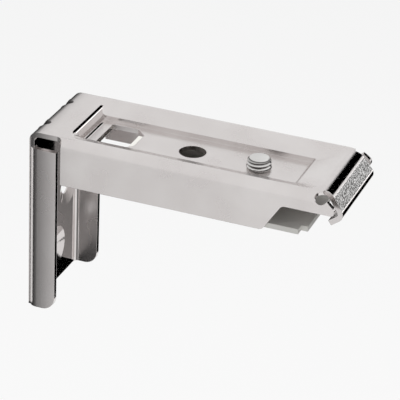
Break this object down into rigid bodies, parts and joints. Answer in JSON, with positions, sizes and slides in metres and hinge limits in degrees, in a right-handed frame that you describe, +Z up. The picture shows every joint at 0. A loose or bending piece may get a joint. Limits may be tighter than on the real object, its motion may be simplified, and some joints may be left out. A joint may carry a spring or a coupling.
{
  "type": "curtain rail wall bracket",
  "caption": "Pressed steel wall bracket for a curtain rail: channel leg, channel arm with hooked front flap, and a sliding lock plate held by a clamp screw.",
  "frame": {"origin": "on the wall face, midway between the two upper wall screw holes", "axes": "+X out of the wall along the arm, +Y along the wall, +Z up"},
  "size_m": [0.105, 0.0394, 0.0634],
  "materials": {
    "body_steel": "satin nickel plate, with bright pressed bends",
    "plate_steel": "satin, slightly darker and yellower than the body",
    "fastener_zinc": "bright zinc plate"
  },
  "bodies": {
    "bracket": {"bracket_body": "body_steel"},
    "lock": {"lock_plate": "plate_steel"},
    "washer": {"clamp_washer": "fastener_zinc"},
    "screw": {"clamp_screw": "fastener_zinc"}
  },
  "joints": [
    {"name": "lock_slide", "type": "slide", "parent": "bracket", "child": "lock", "axis": [1, 0, 0], "range_m": [-0.008, 0]},
    {"name": "washer_drop", "type": "slide", "parent": "bracket", "child": "washer", "axis": [0, 0, 1], "range_m": [-0.0019, 0]},
    {"name": "screw_turn", "type": "hinge", "parent": "washer", "child": "screw", "pos_m": [0.0719, 0, 0.012], "axis": [0, 0, 1], "range_deg": [-540, 0]}
  ],
  "couplings": [
    {"joint": "washer_drop", "follows": "screw_turn", "m_per_rad": 0.00019894}
  ]
}
